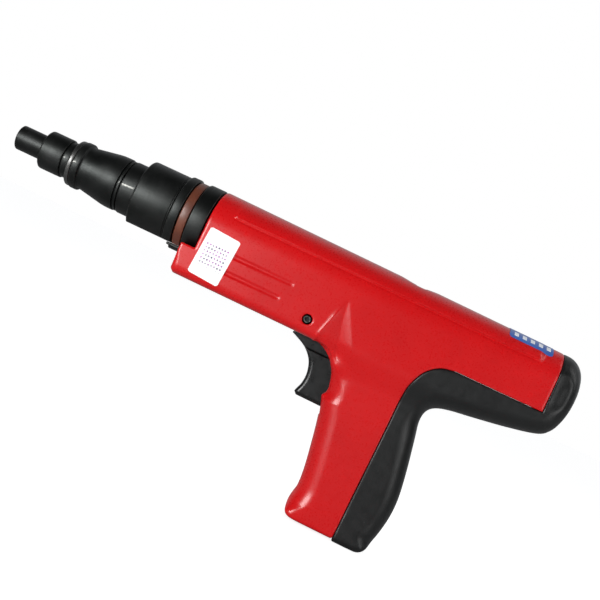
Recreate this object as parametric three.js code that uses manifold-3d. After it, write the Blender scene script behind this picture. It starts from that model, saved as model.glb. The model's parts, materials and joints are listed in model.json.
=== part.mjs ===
// Powder-actuated nail gun, in millimetres, +Z up.
// x runs back from just ahead of the muzzle and z = 0 is the barrel axis; the group at the end moves
// the model so that its origin is at the middle of the base of its bounding box.
import * as THREE from 'three';
import { mergeVertices } from 'three/addons/utils/BufferGeometryUtils.js';
import Module from 'manifold-3d';

const wasm = await Module();
wasm.setup();

// Driving dimensions
const GAP = 0.3; // between neighbouring pieces
const ROUND = 36; // sides of a large turned piece
const SMALL_ROUND = 20; // sides of a small turned piece
const MUZZLE = 3.5; // front plane of the muzzle tube
const REAR = 345; // rearmost point of the end cap
const BASE = -125.6; // lowest point of the grip
const HOUSING_FRONT = 126.4;
const HOUSING_REAR = 330.5;
const HOUSING_R = 21.2; // half width at the front
const HOUSING_REAR_R = 18.5; // half width at the rear
const LIP_FRONT = 118.3;
const LIP_TOP = -14.8;
const HOUSING_BOTTOM = -32;
const SLEEVE_R = 20;
const RING_R = 21.1; // rear ring of the sleeve and barrel collar
const SLEEVE_FLAT = -17.8; // flat along the bottom of the sleeve
const SLEEVE_FRONT = 82;
const SLEEVE_BORE_R = 15.85;
const CONE_R = 15.4; // straight part of the nose cone that slides in the sleeve
const GUIDE_R = 12.4; // piston guide
const GUIDE_BORE_R = 9;
const GUIDE_REAR = 231;
const RAIL_REAR = 188;
const TUBE_R = 7.2; // muzzle tube
const FRONT_BORE_R = 17.3;
const REAR_BORE_R = 15.3;
const STRIP_FRONT = 243.4; // cartridge strip channel
const STRIP_REAR = 248.6;
const STRIP_HALF = 6.2;
const BREECH_FRONT = 249;
const BREECH_REAR = 256;
const STRIKER_FRONT = 257;
const SPRING_SEAT_FRONT = 318.5;
const ROD_Y = 12; // cocking rods, either side of the axis
const ROD_R = 1.6;
const TRIGGER_PIVOT = [198, -23.7];
const SEAR_PIVOT = [270, -26];
const TRIGGER_HALF = 6;

// Half width of the upper body at x, which tapers towards the rear.
function halfWidth(x) {
  const t = (x - HOUSING_FRONT) / (HOUSING_REAR - HOUSING_FRONT);
  return HOUSING_R + (HOUSING_REAR_R - HOUSING_R) * t;
}

// A closed geometry as a solid for cutting and joining.
function solid(geometry) {
  const bare = geometry.clone();
  bare.deleteAttribute('normal');
  bare.deleteAttribute('uv');
  const merged = mergeVertices(bare, 1e-4);
  const triVerts = new Uint32Array(merged.index.array);
  const mesh = new wasm.Mesh({ numProp: 3, vertProperties: merged.attributes.position.array, triVerts });
  return new wasm.Manifold(mesh);
}

// Places a geometry drawn in (a, b) and extruded along c so that c runs along x, y or z.
const TO_X = new THREE.Matrix4().set(0, 0, 1, 0, 1, 0, 0, 0, 0, 1, 0, 0, 0, 0, 0, 1);
const TO_Y = new THREE.Matrix4().set(1, 0, 0, 0, 0, 0, -1, 0, 0, 1, 0, 0, 0, 0, 0, 1);

function extruded(points, depth) {
  const shape = new THREE.Shape(points.map(([a, b]) => new THREE.Vector2(a, b)));
  return new THREE.ExtrudeGeometry(shape, { depth, bevelEnabled: false });
}

// Outline in (x, z), from y = low to y = high.
function sideCut(points, low, high) {
  return solid(extruded(points, high - low).applyMatrix4(TO_Y).translate(0, high, 0));
}

// Outline in (y, z), from x = low to x = high.
function crossCut(points, low, high) {
  return solid(extruded(points, high - low).applyMatrix4(TO_X).translate(low, 0, 0));
}

// Outline in (x, y), from z = low to z = high.
function planCut(points, low, high) {
  return solid(extruded(points, high - low).translate(0, 0, low));
}

function box(x, y, z) {
  const geometry = new THREE.BoxGeometry(x[1] - x[0], y[1] - y[0], z[1] - z[0]);
  return solid(geometry.translate((x[0] + x[1]) / 2, (y[0] + y[1]) / 2, (z[0] + z[1]) / 2));
}

// Profile of [x, radius] points turned about the barrel axis, anticlockwise with x across and radius up.
function turned(profile, sides = ROUND) {
  const points = [...profile, profile[0]].map(([x, radius]) => new THREE.Vector2(radius, x)).reverse();
  return solid(new THREE.LatheGeometry(points, sides, Math.PI / sides).rotateZ(-Math.PI / 2));
}

function ring(x0, x1, inner, outer, sides = ROUND, edge = 0) {
  const inside = [[x0, inner], [x1, inner]];
  if (!edge) return turned([...inside, [x1, outer], [x0, outer]], sides);
  const outside = [[x1, outer - edge], [x1 - edge, outer], [x0 + edge, outer], [x0, outer - edge]];
  return turned([...inside, ...outside], sides);
}

function rod(from, to, radius, sides = SMALL_ROUND) {
  const start = new THREE.Vector3(...from);
  const end = new THREE.Vector3(...to);
  const geometry = new THREE.CylinderGeometry(radius, radius, start.distanceTo(end), sides);
  const along = end.clone().sub(start).normalize();
  const turn = new THREE.Quaternion().setFromUnitVectors(new THREE.Vector3(0, 1, 0), along);
  const middle = start.clone().add(end).multiplyScalar(0.5);
  return solid(geometry.applyQuaternion(turn).translate(middle.x, middle.y, middle.z));
}

// Compression spring along a line, with a five-sided wire.
function spring(from, to, coilRadius, wireRadius, turns) {
  const start = new THREE.Vector3(...from);
  const along = new THREE.Vector3(...to).sub(start);
  const runsAlongX = Math.abs(along.x) > Math.abs(along.z);
  const side = runsAlongX ? new THREE.Vector3(0, 1, 0) : new THREE.Vector3(1, 0, 0);
  const other = along.clone().normalize().cross(side);
  const clear = wireRadius / along.length();
  class Helix extends THREE.Curve {
    getPoint(t, target = new THREE.Vector3()) {
      const angle = 2 * Math.PI * turns * t;
      target.copy(start).addScaledVector(along, clear + (1 - 2 * clear) * t);
      target.addScaledVector(side, coilRadius * Math.cos(angle));
      return target.addScaledVector(other, coilRadius * Math.sin(angle));
    }
  }
  const wire = new THREE.Shape();
  const WIRE_SIDES = 5;
  for (let i = 0; i < WIRE_SIDES; i += 1) {
    const angle = (2 * Math.PI * i) / WIRE_SIDES;
    const [a, b] = [wireRadius * Math.cos(angle), wireRadius * Math.sin(angle)];
    if (i === 0) wire.moveTo(a, b);
    else wire.lineTo(a, b);
  }
  const steps = Math.round(turns * 11);
  return solid(new THREE.ExtrudeGeometry(wire, { steps, extrudePath: new Helix(), bevelEnabled: false }));
}

// Front edge of the grip, from the housing bottom down to the grip base.
const GRIP_FRONT = [
  [206, -32.4], [212, -34], [218, -38.8], [221.8, -45.5], [223.2, -52], [221.6, -58.5], [223.6, -65.2],
  [226.4, -78.5], [229.3, -95], [230.6, -107.6], [229.2, -115.6], [230, -120.9], [233, -124], [236.5, -124.7],
];

// Parting line between the housing and the rear cover, from the grip base up and back.
const SEAM = [
  [259.6, -124.7], [260.4, -80], [261, -40], [262.2, -31], [266.3, -22.4], [273, -17], [281, -14.9],
];
const SEAM_Z = -14.9;

// Side outline of the rear cover behind the parting line, from its top corner round to the grip base.
const COVER_BACK = [
  [331.5, 18.4], [338, 17.9], [341.8, 14.5], [344.2, 8], [REAR, -1], [344.4, -9], [342.6, -16.6],
  [339.6, -22.5], [334.6, -26.6], [318, -30.4], [300, -33.5], [286, -35.6], [279.5, -38], [276.2, -42],
  [275.6, -48], [277.4, -57], [280.4, -72], [282.8, -86.3], [283.4, -96], [282.5, -105.8], [280, -116.5],
  [277.8, -122.6], [275.8, -124.8], [272.5, BASE], [262, BASE],
];

// Half widths of the grip and lower body against height.
const BODY_SECTION = [
  [-HOUSING_R, 22], [-HOUSING_R, -27], [-20, -31.5], [-17.2, -42], [-15.2, -56], [-14.6, -80], [-15, -110],
  [-15.6, -119.4], [-14.4, -124], [-12.4, -125.7],
];

function mirrored(section) {
  return [...section, ...section.map(([y, z]) => [-y, z]).reverse()];
}

// Barrel carriage: it slides forward out of the housing.

function barrelSleeve() {
  const tail = HOUSING_FRONT - 1.1;
  const body = turned([
    [SLEEVE_FRONT, SLEEVE_BORE_R], [tail, SLEEVE_BORE_R], [tail, 17.9], [105, 17.9], [105, SLEEVE_R],
    [104.4, SLEEVE_R], [104.1, SLEEVE_R - 0.4], [103.8, SLEEVE_R], [SLEEVE_FRONT + 1.2, SLEEVE_R],
    [SLEEVE_FRONT, SLEEVE_R - 1.2],
  ]);
  return body.subtract(underSleeve());
}

function underSleeve() {
  return box([70, 130], [-30, 30], [-40, SLEEVE_FLAT]);
}

function sleeveRing(x0, x1, outer, edge) {
  return ring(x0, x1, 17.9 + GAP, outer, ROUND, edge).subtract(underSleeve());
}

function guideRail() {
  const top = SLEEVE_FLAT - GAP;
  const plate = box([107.8, 125.4], [-8, 8], [top - 1.4, top]);
  const lug = box([107.8, 124], [-5, 5], [-21.8, top - 0.6]);
  const bar = box([LIP_FRONT + 1, RAIL_REAR], [-5, 5], [-26, top - 0.6]);
  return plate.add(lug).add(bar);
}

function returnSpringSeat() {
  return ring(121.5, 124.5, GUIDE_R + 0.4, SLEEVE_BORE_R - GAP);
}

// Nose unit: it is pressed back against the work.

function muzzleTube() {
  return turned([
    [MUZZLE, 4.2], [58, 4.2], [58, TUBE_R], [MUZZLE + 0.8, TUBE_R], [MUZZLE, 6.4],
  ]);
}

function noseCollar() {
  const body = turned([
    [20.5, TUBE_R + GAP], [38.6, TUBE_R + GAP], [38.6, 10.6], [34.8, 10.6], [34.8, 10], [34.2, 10],
    [34.2, 11.2], [21.6, 11.2], [20.8, 10.8], [20.5, 10.1],
  ]);
  return body.subtract(rod([32.6, 0, -20], [32.6, 0, -TUBE_R - 1.2], 1.3));
}

function noseSnapRing() {
  return ring(38.9, 41.6, TUBE_R + GAP, 13.4, ROUND, 0.6);
}

function noseCone() {
  return turned([
    [41.9, TUBE_R + GAP], [58.4, TUBE_R + GAP], [58.4, 4.4], [112, 4.4], [112, 8.6], [100, 8.6],
    [100, GUIDE_R], [88, GUIDE_R], [88, CONE_R], [73, CONE_R], [73, 14], [69.9, 14], [69.9, CONE_R],
    [64, CONE_R], [46.3, 12.3], [46, 13.2], [45.4, 13.8], [42.5, 13.8], [41.9, 13.2],
  ]);
}

function grooveRing() {
  return ring(70.8, 72.1, 14 + GAP, 15);
}

function pistonGuide() {
  const chamberR = 3.6;
  const body = turned([
    [100 + GAP, GUIDE_BORE_R], [216, GUIDE_BORE_R], [216, chamberR], [GUIDE_REAR, chamberR],
    [GUIDE_REAR, 14.6], [223, 14.6], [223, GUIDE_R], [127, GUIDE_R], [127, 11.8], [124.7, 11.8],
    [124.7, GUIDE_R], [100 + GAP, GUIDE_R],
  ]);
  const holes = [-ROD_Y, ROD_Y].map((y) => rod([224, y, 0], [232, y, 0], ROD_R + 0.2));
  return body.subtract(holes[0]).subtract(holes[1]);
}

function retainingRing() {
  return ring(124.9, 126.8, 11.8 + GAP, 14.8);
}

function cockingRod(y) {
  return rod([224.4, y, 0], [STRIKER_FRONT - GAP, y, 0], ROD_R);
}

function pistonBuffer() {
  return ring(112.4, 127, 4.6, GUIDE_BORE_R - GAP);
}

function bufferWasher() {
  return ring(127.3, 129.3, 4.3, GUIDE_BORE_R - GAP);
}

// Piston

function piston() {
  return turned([
    [78, 0], [215.6, 0], [215.6, 8.6], [211.4, 8.6], [211.4, 7.4], [209.6, 7.4], [209.6, 8.6], [207.4, 8.6],
    [207.4, 7.4], [205.6, 7.4], [205.6, 8.6], [203, 8.6], [203, 3.8], [79, 3.8], [78, 3],
  ]);
}

function pistonRing(x) {
  return ring(x, x + 1.2, 7.7, GUIDE_BORE_R - 0.25);
}

// Housing and rear cover

function upperBody(x0, x1) {
  return turned([[x0, 0], [x1, 0], [x1, halfWidth(x1)], [x0, halfWidth(x0)]], 48);
}

function lowerBody(side) {
  const plan = [
    [100, -HOUSING_R], [HOUSING_FRONT, -HOUSING_R], [HOUSING_REAR, -HOUSING_REAR_R], [337, -17.4],
    [342, -13.5], [REAR, -7], [REAR, 7], [342, 13.5], [337, 17.4], [HOUSING_REAR, HOUSING_REAR_R],
    [HOUSING_FRONT, HOUSING_R], [100, HOUSING_R],
  ];
  return sideCut(side, -30, 30)
    .intersect(crossCut(mirrored(BODY_SECTION), 90, 360))
    .intersect(planCut(plan, -140, 40));
}

function housing() {
  const lower = lowerBody([
    [HOUSING_FRONT, 0], [HOUSING_FRONT, LIP_TOP], [LIP_FRONT + 0.8, LIP_TOP], [LIP_FRONT, LIP_TOP - 0.8],
    [LIP_FRONT, -29.3], [LIP_FRONT + 0.9, -31.3], [LIP_FRONT + 2.9, HOUSING_BOTTOM], ...GRIP_FRONT, ...SEAM,
    [HOUSING_REAR, SEAM_Z], [HOUSING_REAR, 0],
  ]);
  const saddle = turned([[100, 0], [HOUSING_FRONT, 0], [HOUSING_FRONT, 21.5], [100, 21.5]]);
  const frontBore = turned([[110, 0], [236, 0], [236, FRONT_BORE_R], [110, FRONT_BORE_R]]);
  const rearBore = turned([[235, 0], [340, 0], [340, REAR_BORE_R], [235, REAR_BORE_R]]);
  const sides = 10.8;
  const gripHollow = sideCut([
    [228.5, -64], [232, -80], [234.4, -97], [235, -120.9], [270, -120.9], [270, -36], [228.5, -36],
  ], -sides, sides);
  const neckHollow = box([203, 268], [-sides, sides], [-60, -30]);
  const aboveTrigger = box([190.4, 238], [-TRIGGER_HALF - 0.4, TRIGGER_HALF + 0.4], [-66, -18.2]);
  const dip = rod([245, -30, 48.7], [245, 30, 48.7], 30, 64);
  return upperBody(HOUSING_FRONT, HOUSING_REAR)
    .add(lower)
    .add(searFrame())
    .subtract(saddle)
    .subtract(frontBore)
    .subtract(rearBore)
    .subtract(gripHollow)
    .subtract(neckHollow.subtract(sideCut([[200, -28], [229, -28], [229, -80], [215, -80]], -15, 15)))
    .subtract(aboveTrigger)
    .subtract(box([100, 190], [-5.4, 5.4], [-27.4, -8]))
    .subtract(box([STRIP_FRONT - 1.8, STRIP_REAR + 1.8], [-8, 8], [-122.3, -14]))
    .subtract(box([STRIP_FRONT, STRIP_REAR], [-STRIP_HALF, STRIP_HALF], [-140, 30]))
    .subtract(dip)
    .subtract(searSlot())
    .subtract(pivotBar(-40, 17, 2.8))
    .subtract(pivotBar(-40, -19.2, 3.4))
    .subtract(whiteLabelSpace(-HOUSING_R - 1, -HOUSING_R + 0.9, 0.3))
    .subtract(blueLabelSpace(17.9, 25, 0.3));
}

// A bar on the trigger's pivot line from y = low to y = high.
function pivotBar(low, high, radius) {
  const [x, z] = TRIGGER_PIVOT;
  return rod([x, low, z], [x, high, z], radius);
}

// Two cheeks that carry the sear, reaching back into the rear cover.
function searFrame() {
  const cheeks = [[255, -14], [276.5, -14], [276.5, -30.6], [262, -33], [255, -33]];
  return sideCut(cheeks, -8.6, 8.6);
}

function searSlot() {
  const slot = box([252, 280], [-3.4, 3.4], [-60, -12]);
  const shelf = box([252, 262.4], [-3.8, 3.8], [-60, -24.6]);
  const pin = rod([SEAR_PIVOT[0], -10, SEAR_PIVOT[1]], [SEAR_PIVOT[0], 10, SEAR_PIVOT[1]], 2.1);
  return slot.subtract(shelf).add(pin).add(box([252, 259], [-10.8, 10.8], [-60, -33]));
}

function whiteLabelSpace(low, high, margin) {
  const [x0, x1, z0, z1] = [129.4 - margin, 147.6 + margin, -28.2 - margin, -1.2 + margin];
  return box([x0, x1], [low, high], [z0, z1]);
}

function blueLabelSpace(inner, outer, margin) {
  const band = ring(299 - margin, 324 + margin, inner, outer, 48);
  const wedge = [[0, 0], [-30, 18 - 4 * margin], [-30, 40], [2 + margin, 40]];
  return band.intersect(crossCut(wedge, 280, 340));
}

function rearCover() {
  const outerSide = [
    ...COVER_BACK, [260.6, BASE], ...SEAM.slice(1).map(([x, z]) => [x + 0.7, z - 0.6]),
    [HOUSING_REAR + 0.6, SEAM_Z - 0.6], [HOUSING_REAR + 0.6, 18.4],
  ];
  const shape = lowerBody(outerSide);
  const roundTop = turned([
    [0, 0], [REAR, 0], [REAR, 6], [342.6, 13.5], [338, 17.7], [HOUSING_REAR, 18.4], [0, 18.4],
  ], 48);
  const belowAxis = box([200, 400], [-40, 40], [-150, 0]);
  const capHollow = turned([[320, 0], [340, 0], [340, 8], [334, 14.8], [320, 14.8]]);
  const bandHollow = sideCut([
    [272, -33.6], [286, -31.8], [318, -27.2], [334, -23.6], [338.5, -17], [338.5, -5], [300, -5], [272, -10],
  ], -14.5, 14.5);
  const gripHollow = sideCut([
    [250, -36], [250, -121.3], [274, -121.3], [277.4, -110], [279.6, -98], [278.5, -80], [274.6, -60],
    [273.8, -48], [274.4, -41], [277, -35.4], [277, -20], [264, -20],
  ], -11.4, 11.4);
  return shape
    .intersect(roundTop.add(belowAxis))
    .subtract(capHollow)
    .subtract(bandHollow)
    .subtract(gripHollow)
    .subtract(sideCut([[255, -12], [277, -12], [277, -34], [255, -34]], -9.2, 9.2))
    .subtract(rod([300, 0, 0], [360, 0, 0], 2.6))
    .subtract(rod([341.2, 0, 0], [360, 0, 0], 4.8))
    .subtract(rod([268, 0, -140], [268, 0, -100], 2.1))
    .subtract(rod([268, 0, -140], [268, 0, BASE + 2.1], 3.9));
}

function guideBush() {
  return ring(141, 155, GUIDE_R + 0.35, FRONT_BORE_R - GAP);
}

function breechBlock() {
  const disc = turned([
    [BREECH_FRONT, 2.2], [BREECH_REAR, 2.2], [BREECH_REAR, REAR_BORE_R - GAP],
    [BREECH_FRONT, REAR_BORE_R - GAP],
  ]);
  const notch = (side) => box([240, 260], side < 0 ? [-20, -9.8] : [9.8, 20], [-2.2, 2.2]);
  return disc.subtract(notch(-1)).subtract(notch(1));
}

function springSeat() {
  return turned([
    [SPRING_SEAT_FRONT, 0], [323.5, 0], [323.5, REAR_BORE_R - GAP], [SPRING_SEAT_FRONT, REAR_BORE_R - GAP],
  ]).subtract(rod([320.5, 0, 0], [330, 0, 0], 2.6));
}

function capScrew() {
  return rod([321, 0, 0], [343, 0, 0], 2.2).add(rod([341.5, 0, 0], [343.7, 0, 0], 4.4))
    .subtract(hexSocket(1.5).rotate([0, 90, 0]).translate([343.7, 0, 0]));
}

function gripScrew() {
  const head = rod([268, 0, BASE + 0.4], [268, 0, BASE + 1.8], 3.5);
  const shank = rod([268, 0, BASE + 1], [268, 0, BASE + 16.3], 1.8);
  return shank.add(head).subtract(hexSocket(1.2).translate([268, 0, BASE - 0.1]));
}

// Six-sided socket about the z axis, 2.4 deep, centred on the origin.
function hexSocket(radius) {
  return rod([0, 0, -1.2], [0, 0, 1.2], radius, 6);
}

function triggerPivotScrew() {
  const [x, z] = TRIGGER_PIVOT;
  const socket = hexSocket(1.3).rotate([90, 0, 0]).translate([x, -20.9, z]);
  return pivotBar(-19.4, 16.6, 2.4).add(pivotBar(-20.9, -19.3, 3)).subtract(socket);
}

function searPin() {
  const [x, z] = SEAR_PIVOT;
  return rod([x, -8.4, z], [x, 8.4, z], 1.8);
}

function stripGuide() {
  const outer = box([STRIP_FRONT - 1.4, STRIP_REAR + 1.4], [-7.6, 7.6], [-120.5, -15.9]);
  return outer.subtract(box([STRIP_FRONT, STRIP_REAR], [-STRIP_HALF, STRIP_HALF], [-130, 0]));
}

function whiteLabel() {
  return whiteLabelSpace(-HOUSING_R + 0.25, -HOUSING_R + 0.55, 0);
}

function blueLabel() {
  return blueLabelSpace(18.2, 18.45, 0);
}

// Striker

function striker() {
  const body = turned([
    [BREECH_FRONT + 0.4, 0], [306, 0], [306, 3.2], [285, 3.2], [285, 8.5], [STRIKER_FRONT, 8.5],
    [STRIKER_FRONT, 1.8], [BREECH_FRONT + 0.4, 1.8],
  ]);
  return body.add(box([STRIKER_FRONT, STRIKER_FRONT + 4], [-13.8, 13.8], [-5.5, 5.5]));
}

// Trigger group

function triggerOutline() {
  return [
    [192.6, -33.4], [200, -36.6], [205.2, -40.6], [208.6, -46], [209.8, -52], [209.2, -57], [207.6, -61],
    [207.4, -63], [209, -64], [226.6, -64], [225.8, -50], [227, -46], [229, -41], [227, -36.5],
    [218, -29], [203.6, -22], [201.5, -19.8], [198, -18.7], [194.2, -20], [193, -23.7], [193.4, -31.6],
  ];
}

// Above this line the trigger is covered by its shield.
const SHIELD_Z = -38.2;

const PIVOT_HOLE_R = 2.7;

function trigger() {
  const whole = sideCut(triggerOutline(), -TRIGGER_HALF, TRIGGER_HALF);
  const core = sideCut(triggerOutline(), -TRIGGER_HALF + 1.8, TRIGGER_HALF - 1.8);
  const below = box([180, 240], [-20, 20], [-80, SHIELD_Z - 0.15]);
  const insideShield = box([196, 240], [-20, 20], [-80, 0]);
  return whole.intersect(below).add(core.intersect(insideShield)).subtract(pivotBar(-20, 20, PIVOT_HOLE_R));
}

function triggerShield() {
  const whole = sideCut(triggerOutline(), -TRIGGER_HALF, TRIGGER_HALF);
  const above = box([180, 222], [-20, 20], [SHIELD_Z + 0.15, 0]);
  const core = box([196 - GAP, 240], [-4.2 - GAP, 4.2 + GAP], [-80, 0]);
  return whole.intersect(above).subtract(core).subtract(pivotBar(-20, 20, PIVOT_HOLE_R));
}

function triggerBar() {
  const pad = box([229.5, 231.5], [-4.5, 4.5], [-48, -33.4]);
  const plate = box([230, 268.1], [-10.2, 10.2], [-42, -39.4]);
  const window = box([237.4, 250.6], [-8.1, 8.1], [-50, -30]);
  const rearNotch = box([256, 280], [3, 20], [-50, -30]);
  return pad.add(plate).subtract(window).subtract(rearNotch).subtract(box([256, 280], [-20, -3], [-50, -30]));
}

function sear() {
  const profile = [
    [259.6, -9.4], [263.4, -9.4], [266.5, -16], [268, -22.2], [270, -22.8], [273, -23.8], [273.6, -26],
    [272.2, -29], [270.6, -42.2], [268.5, -42.2], [268.4, -30], [266, -27], [263.6, -21], [262.4, -16.4],
    [258.2, -16.2],
  ];
  const [x, z] = SEAR_PIVOT;
  return sideCut(profile, -3, 3).subtract(rod([x, -5, z], [x, 5, z], 2.1));
}

// Assembly

const STEEL_BLACK = { color: 0x1b1d1c, roughness: 0.42, metalness: 0.85 };
const STEEL_BRIGHT = { color: 0xb8b4a8, roughness: 0.3, metalness: 1 };
const STEEL_SPRING = { color: 0x8a8c8e, roughness: 0.35, metalness: 1 };
const BRONZE = { color: 0xa57a45, roughness: 0.4, metalness: 1 };
const RED_PAINT = { color: 0xcd1c20, roughness: 0.45, metalness: 0 };
const BLACK_PLASTIC = { color: 0x1d1f1f, roughness: 0.55, metalness: 0 };
const BROWN_RUBBER = { color: 0x4a2d1f, roughness: 0.3, metalness: 0 };
const BLACK_RUBBER = { color: 0x111111, roughness: 0.8, metalness: 0 };
const LABEL_WHITE = { color: 0xf4f4f6, roughness: 0.5, metalness: 0 };
const LABEL_BLUE = { color: 0x2c56a8, roughness: 0.4, metalness: 0 };

const PIECES = [
  ['muzzle_tube', muzzleTube(), STEEL_BLACK],
  ['nose_collar', noseCollar(), STEEL_BLACK],
  ['nose_snap_ring', noseSnapRing(), STEEL_SPRING],
  ['nose_cone', noseCone(), STEEL_BLACK],
  ['groove_ring', grooveRing(), STEEL_BLACK],
  ['piston_guide', pistonGuide(), STEEL_BLACK],
  ['retaining_ring', retainingRing(), STEEL_SPRING],
  ['cocking_rod_left', cockingRod(-ROD_Y), STEEL_BRIGHT],
  ['cocking_rod_right', cockingRod(ROD_Y), STEEL_BRIGHT],
  ['piston_buffer', pistonBuffer(), BLACK_RUBBER],
  ['buffer_washer', bufferWasher(), STEEL_BRIGHT],
  ['piston', piston(), STEEL_BRIGHT],
  ['piston_ring_front', pistonRing(205.9), STEEL_SPRING],
  ['piston_ring_rear', pistonRing(209.9), STEEL_SPRING],
  ['barrel_sleeve', barrelSleeve(), STEEL_BLACK],
  ['sleeve_rear_ring', sleeveRing(105.2, 110.4, RING_R, 0.6), STEEL_BLACK],
  ['buffer_ring', sleeveRing(110.8, 116, 20.1, 0.5), BROWN_RUBBER],
  ['barrel_collar', sleeveRing(116.4, 125.6, RING_R, 0.6), STEEL_BLACK],
  ['guide_rail', guideRail(), STEEL_BLACK],
  ['return_spring_seat', returnSpringSeat(), STEEL_SPRING],
  ['return_spring', spring([88.2, 0, 0], [121.3, 0, 0], 14.15, 0.9, 6), STEEL_SPRING],
  ['housing', housing(), RED_PAINT],
  ['rear_cover', rearCover(), BLACK_PLASTIC],
  ['guide_bush', guideBush(), BRONZE],
  ['breech_block', breechBlock(), STEEL_BRIGHT],
  ['spring_seat', springSeat(), STEEL_SPRING],
  ['cap_screw', capScrew(), STEEL_BLACK],
  ['grip_screw', gripScrew(), STEEL_BLACK],
  ['trigger_pivot_screw', triggerPivotScrew(), STEEL_BLACK],
  ['sear_pin', searPin(), STEEL_BRIGHT],
  ['strip_guide', stripGuide(), STEEL_SPRING],
  ['white_label', whiteLabel(), LABEL_WHITE],
  ['blue_label', blueLabel(), LABEL_BLUE],
  ['striker', striker(), STEEL_BRIGHT],
  ['striker_spring', spring([285.3, 0, 0], [318.2, 0, 0], 5.6, 1, 8), STEEL_SPRING],
  ['trigger', trigger(), BLACK_PLASTIC],
  ['trigger_shield', triggerShield(), BLACK_PLASTIC],
  ['trigger_bar', triggerBar(), STEEL_BRIGHT],
  ['trigger_spring', spring([231.8, 0, -36], [241.7, 0, -36], 2.1, 0.35, 5), STEEL_SPRING],
  ['sear', sear(), STEEL_BRIGHT],
  ['sear_spring', spring([260, 0, -24.3], [260, 0, -17.2], 1.7, 0.35, 4), STEEL_SPRING],
];

function meshOf(name, manifold, finish) {
  const { vertProperties, triVerts } = manifold.getMesh();
  const geometry = new THREE.BufferGeometry();
  geometry.setAttribute('position', new THREE.BufferAttribute(vertProperties, 3));
  geometry.setIndex(new THREE.BufferAttribute(triVerts, 1));
  geometry.computeVertexNormals();
  const mesh = new THREE.Mesh(geometry, new THREE.MeshStandardMaterial(finish));
  mesh.name = name;
  return mesh;
}

const nailGun = new THREE.Group();
nailGun.name = 'nail_gun';
PIECES.forEach(([name, manifold, finish]) => nailGun.add(meshOf(name, manifold, finish)));
nailGun.position.set(-(MUZZLE + REAR) / 2, 0, -BASE);

export default nailGun;
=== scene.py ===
"""Powder-actuated nail gun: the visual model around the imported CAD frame.

Shapes are written in millimetres in the tool's own coordinates, the same as in the CAD source: x runs
back from just ahead of the muzzle, y = 0 is the middle plane and z = 0 is the barrel axis.
place() turns them into the row frame, in metres.
"""

import json
import math

import bpy
import numpy as np
import openvdb
from mathutils import Matrix, Vector


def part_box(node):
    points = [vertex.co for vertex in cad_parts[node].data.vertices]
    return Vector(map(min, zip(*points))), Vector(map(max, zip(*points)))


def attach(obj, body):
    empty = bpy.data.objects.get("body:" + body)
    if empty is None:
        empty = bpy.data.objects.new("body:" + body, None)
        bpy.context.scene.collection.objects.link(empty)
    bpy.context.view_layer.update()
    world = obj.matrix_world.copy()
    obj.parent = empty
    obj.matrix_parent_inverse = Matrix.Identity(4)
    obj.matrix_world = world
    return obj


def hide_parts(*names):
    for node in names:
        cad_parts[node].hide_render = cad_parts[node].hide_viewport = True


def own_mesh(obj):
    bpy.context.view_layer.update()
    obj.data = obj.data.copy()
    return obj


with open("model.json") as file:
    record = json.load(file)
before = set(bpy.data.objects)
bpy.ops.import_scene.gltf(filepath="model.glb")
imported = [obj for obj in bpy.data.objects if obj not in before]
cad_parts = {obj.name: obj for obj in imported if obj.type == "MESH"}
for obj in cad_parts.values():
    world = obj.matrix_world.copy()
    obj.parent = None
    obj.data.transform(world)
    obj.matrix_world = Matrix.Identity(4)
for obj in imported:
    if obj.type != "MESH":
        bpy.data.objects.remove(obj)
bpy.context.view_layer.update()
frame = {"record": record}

MM = 0.001
MUZZLE_X = 3.5  # x of the muzzle's front plane in tool coordinates

tube_low, tube_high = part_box("muzzle_tube")
ORIGIN = Vector((tube_low.x - MUZZLE_X * MM, 0, (tube_low.z + tube_high.z) / 2))

# ---------------------------------------------------------------- camera, light and floor

VIEW_YAW = math.radians(5.2)  # the camera stands this far towards the rear
VIEW_ROLL = math.radians(25.3)  # and is rolled so that the muzzle points up and left
VIEW_DISTANCE = 0.555
VIEW_TARGET = Vector((188.3, 0, -16.0))
FOCAL_MM = 60.0
SENSOR_MM = 36.0
FLOOR_HALF = 6.0


def place(point):
    return Vector(point) * MM + ORIGIN


def view_axes():
    """Right, up and back directions of the camera."""
    cy, sy = math.cos(VIEW_YAW), math.sin(VIEW_YAW)
    cr, sr = math.cos(VIEW_ROLL), math.sin(VIEW_ROLL)
    right = Vector((cy * cr, sy * cr, sr))
    up = Vector((-cy * sr, -sy * sr, cr))
    back = Vector((sy, -cy, 0))
    return right, up, back


def make_camera():
    right, up, back = view_axes()
    data = bpy.data.cameras.new("camera")
    data.sensor_width = SENSOR_MM
    data.lens = FOCAL_MM
    data.clip_start = 0.01
    data.clip_end = 50
    camera = bpy.data.objects.new("camera", data)
    bpy.context.scene.collection.objects.link(camera)
    turn = Matrix((right, up, back)).transposed()
    camera.matrix_world = Matrix.Translation(place(VIEW_TARGET) + back * VIEW_DISTANCE) @ turn.to_4x4()
    bpy.context.scene.camera = camera


def area_light(name, offset, size, power):
    """A softbox at offset (along the camera's right, up and back) from the tool, facing it."""
    right, up, back = view_axes()
    data = bpy.data.lights.new(name, "AREA")
    data.shape = "RECTANGLE"
    data.size, data.size_y = size
    data.energy = power
    light = bpy.data.objects.new(name, data)
    bpy.context.scene.collection.objects.link(light)
    centre = place(VIEW_TARGET)
    spot = centre + right * offset[0] + up * offset[1] + back * offset[2]
    light.location = spot
    light.rotation_mode = "QUATERNION"
    light.rotation_quaternion = (centre - spot).to_track_quat("-Z", "Y")


def make_lights():
    area_light("key", (-0.66, 0.30, 0.96), (0.5, 0.5), 19)
    area_light("fill", (0.8, -0.1, 1.0), (0.5, 0.8), 4.5)
    area_light("rear_strip", (0.9, 0.3, 0.1), (0.2, 0.8), 1.5)


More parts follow.
